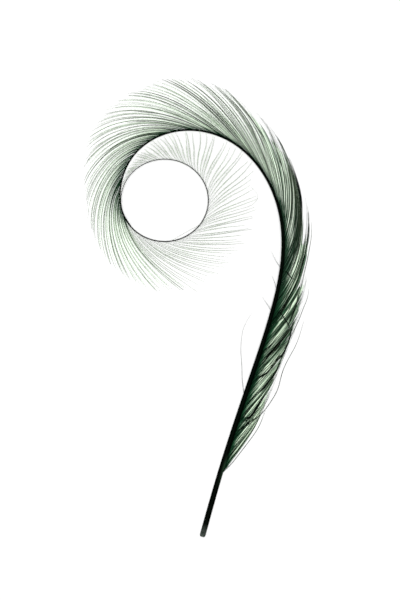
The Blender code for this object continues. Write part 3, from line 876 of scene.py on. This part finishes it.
curl_hair = hair_material("curl_barb", (0.002, 0.017, 0.006), (0.0075, 0.018, 0.008), (0.06, 0.08, 0.05),
                          0.08, 0.3)
curl_pace = column(CURL_PACE, curl_roots)
strand_piece("curl_barbs", curl_paths, across, curl_hair, rng.uniform(0, 1, curl_count), curl_pace)

# The curl's ribbons and barbules
# Each barb carries its barbules in one plane, so it is a pale flat ribbon, dark by the shaft. Side by side
# the ribbons close the fan there and part towards the tips, where single barbules stand out.
RIBBON_DRAW = (0.35, 0.0, 0.4)
RIBBON_SWAY = 0.15
RIBBON_DROP = 0.12
RIBBON_FLATNESS = 0.1
RIBBON_THINNEST = 0.004
# The share of the way to its neighbour that a ribbon covers, at shares of its length.
RIBBON_COVER = [(0, 1.1), (0.3, 1.0), (0.6, 0.75), (0.9, 0.45), (1.0, 0.1)]
CURL_BARBULE_LENGTH = [(0, 0.4), (0.35, 0.75), (0.7, 0.5), (1, 0.2)]
CURL_BARBULE_WIDTH = [(0, 0.05), (0.3, 0.04), (1, 0.02)]
CURL_GROWN = [(112, 1.4), (135, 1.1), (160, 0.85), (180, 0.65), (200, 0.6)]

follow = gathered(curl_roots[:, None], along, bundle[:, None], *RIBBON_DRAW)
follow = follow + wavering(rng, curl_count, along, RIBBON_SWAY)
ribbon_paths = fan_point(follow, curl_t, -RIBBON_DROP)
run = unit(np.gradient(ribbon_paths[..., :2], axis=1))
gap = (fan_point(follow + CURL_PITCH / 2, curl_t) - fan_point(follow - CURL_PITCH / 2, curl_t))[..., :2]
lane = np.abs(gap[..., 0] * run[..., 1] - gap[..., 1] * run[..., 0])
across = np.maximum(lane * column(RIBBON_COVER, along) / 2, RIBBON_THINNEST)
ribbon_skin = hair_material("curl_ribbon", (0.008, 0.072, 0.028), (0.65, 0.79, 0.61), (0.81, 0.9, 0.78),
                            -0.02, 0.24)
ribbon_tone = rng.uniform(0, 1, LINES)[line_number]
strand_piece("curl_ribbons", ribbon_paths, across, ribbon_skin, ribbon_tone, curl_pace, RIBBON_FLATNESS)

curl_web = hair_material("curl_barbule", (0.035, 0.12, 0.058), (0.57, 0.7, 0.53), (0.71, 0.82, 0.68),
                         0.0, 0.25)
curl_grown = column(CURL_GROWN, curl_roots)
barbule_piece("curl_barbules", curl_paths[::2], rng, 0.5, CURL_BARBULE_LENGTH, CURL_BARBULE_WIDTH, 28,
              curl_web, first=0.25, grown=curl_grown[::2], pace=curl_pace[::2])

# Barbs out of line
# Here and there a dark barb has slipped off its own line and lies a little askew across its neighbours.

# Places of the first and last of each run of such barbs, their number, and their least and greatest width.
ASKEW = ((25.0, 82.0, 50, 0.6, 2.6), (84.0, 112.0, 22, 0.6, 2.6), (114.0, 165.0, 22, 0.5, 2.2))
ASKEW_STRAY = 0.8
ASKEW_REACH = (0.5, 0.88)
ASKEW_SWAY = 1.0
ASKEW_LIFT = 0.3
ASKEW_WIDTH = [(0, 0.03), (0.3, 0.055), (0.75, 0.05), (1.0, 0.014)]

rng = np.random.default_rng(29)
askew_roots = np.concatenate([np.linspace(first, last, barbs) for first, last, barbs, _, _ in ASKEW])
askew_count = len(askew_roots)
askew_roots = askew_roots + rng.uniform(-ASKEW_STRAY, ASKEW_STRAY, askew_count)
reach = rng.uniform(*ASKEW_REACH, (askew_count, 1))
follow = askew_roots[:, None] + wavering(rng, askew_count, along, ASKEW_SWAY)
askew_paths = fan_point(follow, along * reach, ASKEW_LIFT)
askew_size = np.concatenate([rng.uniform(least, most, barbs) for _, _, barbs, least, most in ASKEW])
across = column(ASKEW_WIDTH, along) * askew_size[:, None]
strand_piece("askew_barbs", askew_paths, across, curl_hair, rng.uniform(0, 1, askew_count))

# The ring's barbs
# The thin end of the shaft carries single pale hairs, a millimetre apart and short, fanned round the ring,
# with barbules that fill the crescent between the ring and the curl with a faint green.
RING_PITCH = 1.05
RING_TO = 284.0
RING_STRAY = 0.25
RING_SWAY = 0.22
RING_HEIGHT_SWAY = 0.2
RING_REACH_SPREAD = 0.05
RING_REACH_LIMIT = 1.2
RING_WIDTH = [(0, 0.03), (0.3, 0.046), (0.75, 0.044), (1.0, 0.02)]
RING_WIDTH_SPREAD = (0.75, 1.25)
# How wide a barb is, how long its barbules are and how far it reaches beside others, at places.
RING_WIDTH_AT = [(200, 0.92), (236, 0.95), (250, 1.1), (284, 1.25)]
RING_GROWN = [(200, 0.75), (222, 0.85), (236, 1.2), (250, 1.6), (266, 1.5), (274, 0.6), (284, 0.3)]
RING_REACH = [(200, 1.0), (228, 1.0), (240, 1.1), (255, 1.12), (266, 1.05), (274, 0.8), (284, 0.5)]
RING_BARBULE_LENGTH = [(0, 0.3), (0.4, 0.6), (1, 0.2)]
RING_BARBULE_WIDTH = [(0, 0.02), (0.4, 0.04), (1, 0.025)]

rng = np.random.default_rng(37)
ring_roots = np.arange(CURL_TO, RING_TO, RING_PITCH)
ring_count = len(ring_roots)
ring_roots = ring_roots + rng.uniform(-RING_STRAY, RING_STRAY, ring_count)
follow = ring_roots[:, None] + wavering(rng, ring_count, along, RING_SWAY)
reach = column(RING_REACH, ring_roots) + rng.normal(0, RING_REACH_SPREAD, ring_count)
ring_t = np.clip(along * reach[:, None], 0, RING_REACH_LIMIT)
ring_paths = fan_point(follow, ring_t, wavering(rng, ring_count, along, RING_HEIGHT_SWAY))
across = column(RING_WIDTH, along)[None] * rng.uniform(*RING_WIDTH_SPREAD, (ring_count, 1))
across = across * column(RING_WIDTH_AT, ring_roots)[:, None]
ring_hair = hair_material("ring_barb", (0.11, 0.18, 0.1), (0.15, 0.2, 0.13), (0.27, 0.33, 0.24), 0.0, 0.4)
strand_piece("ring_barbs", ring_paths, across, ring_hair, rng.uniform(0, 1, ring_count))
ring_web = hair_material("ring_barbule", (0.34, 0.5, 0.26), (0.42, 0.6, 0.34), (0.5, 0.68, 0.42), 0.0, 0.4)
barbule_piece("ring_barbules", ring_paths, rng, 0.2, RING_BARBULE_LENGTH, RING_BARBULE_WIDTH, 30, ring_web,
              grown=column(RING_GROWN, ring_roots))

# The loose hairs
# A few barbs have come away from the vane and lie outside it, one of the ring's is hooked, and four wisps
# stand on the bare inner side.

# Root place, number of barbs, rise, and the line's points up to its tip.
LOOSE = [
    (22.9, 2, 0.1, [(10.0, -52.2), (13.3, -48.2), (16.7, -43.8), (20.0, -38.8), (22.0, -33.5)]),
    (33.3, 2, 0.5, [(14.3, -40.2), (20.0, -35.5), (24.0, -30.5), (26.2, -26.3), (27.4, -21.7), (29.6, -16.6),
                    (32.1, -12.0), (33.8, -7.3), (34.7, -4.2)]),
    (56.0, 2, 0.3, [(25.0, -17.0), (30.3, -9.5), (31.3, -7.5), (33.3, -3.2), (35.0, 1.2), (36.0, 3.8),
                    (36.4, 6.8)]),
    (62.0, 1, 0.3, [(28.0, -9.0), (33.3, 1.2), (34.7, 5.5), (35.3, 7.8), (35.5, 11.0)]),
    (66.0, 2, 0.3, [(28.5, -4.5), (33.3, 5.2), (34.7, 11.2), (35.7, 15.5), (36.7, 20.5), (37.3, 24.5),
                    (37.3, 29.0)]),
    (72.0, 2, 0.3, [(29.5, 2.0), (33.0, 11.0), (35.0, 18.2), (36.3, 22.8), (36.5, 26.8), (36.3, 31.2),
                    (36.0, 34.5)]),
]
LOOSENESS = 1.2
LOOSE_WIDTH = [(0, 0.06), (0.3, 0.056), (0.8, 0.05), (1.0, 0.014)]
HOOKED_ROOT = 217.0
HOOKED_POINTS = [(4.4, 30.1), (13.9, 33.4), (18.6, 35.6), (19.4, 37.3), (17.2, 40.6)]
HOOKED_DROP = 0.3
# Each wisp's root place and its points up to its tip.
WISPS = [(50.0, [(14.2, -22.6), (14.1, -18.4), (13.8, -14.4), (13.9, -10.9), (14.3, -7.8), (15.2, -5.1),
                 (17.4, -1.4)]),
         (79.0, [(22.6, 1.5), (21.5, 3.1), (20.9, 4.1)]),
         (86.5, [(24.9, 9.2), (24.0, 11.2)]),
         (93.8, [(25.5, 15.9), (24.5, 17.9), (23.7, 19.4)])]
WISP_DROP = 0.4
WISP_WIDTH = [(0, 0.08), (0.5, 0.06), (1.0, 0.02)]

rng = np.random.default_rng(41)
loose_paths = [sheaf(rng, root, barbs, points, rise, LOOSENESS) for root, barbs, rise, points in LOOSE]
loose_paths = np.concatenate(loose_paths)
across = np.repeat(column(LOOSE_WIDTH, along)[None], len(loose_paths), axis=0)
loose_hair = hair_material("loose_barb", (0.004, 0.012, 0.007), (0.03, 0.05, 0.033), (0.08, 0.11, 0.08),
                           0.05, 0.4)
strand_piece("loose_barbs", loose_paths, across, loose_hair, rng.uniform(0, 1, len(loose_paths)))

hooked_path = sheaf(rng, HOOKED_ROOT, 1, HOOKED_POINTS, 0.0)
hooked_path[..., 2] = on_shaft(np.array([HOOKED_ROOT]))[3] - HOOKED_DROP
strand_piece("hooked_barb", hooked_path, column(RING_WIDTH, along)[None], ring_hair, np.array([0.6]))

wisp_paths = []
for root, points in WISPS:
    centre, _, outward, height = on_shaft(np.array([root]))
    start = centre - outward * column(SHAFT_RADIUS, root)
    plan = natural_spline(start.tolist() + points, STRAND_RINGS)
    wisp_paths.append(np.column_stack([plan, height - WISP_DROP * along]))
across = np.repeat(column(WISP_WIDTH, along)[None], len(WISPS), axis=0)
strand_piece("inner_wisps", np.stack(wisp_paths), across, loose_hair, np.full(len(WISPS), 0.8))

# The surface, the light and the camera
# A white table top, lit evenly from all round and from a softbox straight above, so that shadows hide
# under the feather, with a long lens looking straight down. Sizes here are in metres.
FLOOR_HALF = 3.0
FLOOR_LEVEL = -0.00002
PAPER_WHITE = (0.92, 0.92, 0.92, 1)
PAPER_ROUGHNESS = 0.9
WORLD_STRENGTH = 0.2
SOFTBOX_SIZE = 0.5
SOFTBOX_HEIGHT = 1.2
SOFTBOX_WATTS = 14.5
# The picture's height and its centre on the table.
PICTURE_HEIGHT = 0.2
PICTURE_CENTRE = (0.00017, 0.00303)
CAMERA_HEIGHT = 1.0
SENSOR_MM = 36.0

floor_corners = [(x * FLOOR_HALF, y * FLOOR_HALF, FLOOR_LEVEL)
                 for x, y in ((-1, -1), (1, -1), (1, 1), (-1, 1))]
floor_mesh = bpy.data.meshes.new("table_top")
floor_mesh.from_pydata(floor_corners, [], [(0, 1, 2, 3)])
floor = placed("table_top", floor_mesh)
paper, paper_tree, paper_shader = new_material("white_paper")
fill(paper_tree, paper_shader, Base_Color=PAPER_WHITE, Roughness=PAPER_ROUGHNESS, Specular_IOR_Level=0.0)
floor_mesh.materials.append(paper)

world = bpy.data.worlds.new("studio")
world.use_nodes = True
fill(world.node_tree, world.node_tree.nodes["Background"], Color=(1, 1, 1, 1), Strength=WORLD_STRENGTH)
bpy.context.scene.world = world

softbox_light = bpy.data.lights.new("softbox", "AREA")
softbox_light.shape = "DISK"
softbox_light.size = SOFTBOX_SIZE
softbox_light.energy = SOFTBOX_WATTS
placed("softbox", softbox_light, (0.0, 0.0, SOFTBOX_HEIGHT))

lens = bpy.data.cameras.new("camera")
lens.sensor_width = SENSOR_MM
lens.lens = SENSOR_MM * CAMERA_HEIGHT / PICTURE_HEIGHT
lens.clip_start = 0.01
bpy.context.scene.camera = placed("camera", lens, (*PICTURE_CENTRE, CAMERA_HEIGHT))
bpy.context.scene.view_settings.view_transform = "Standard"
bpy.context.scene.cycles.use_denoising = True
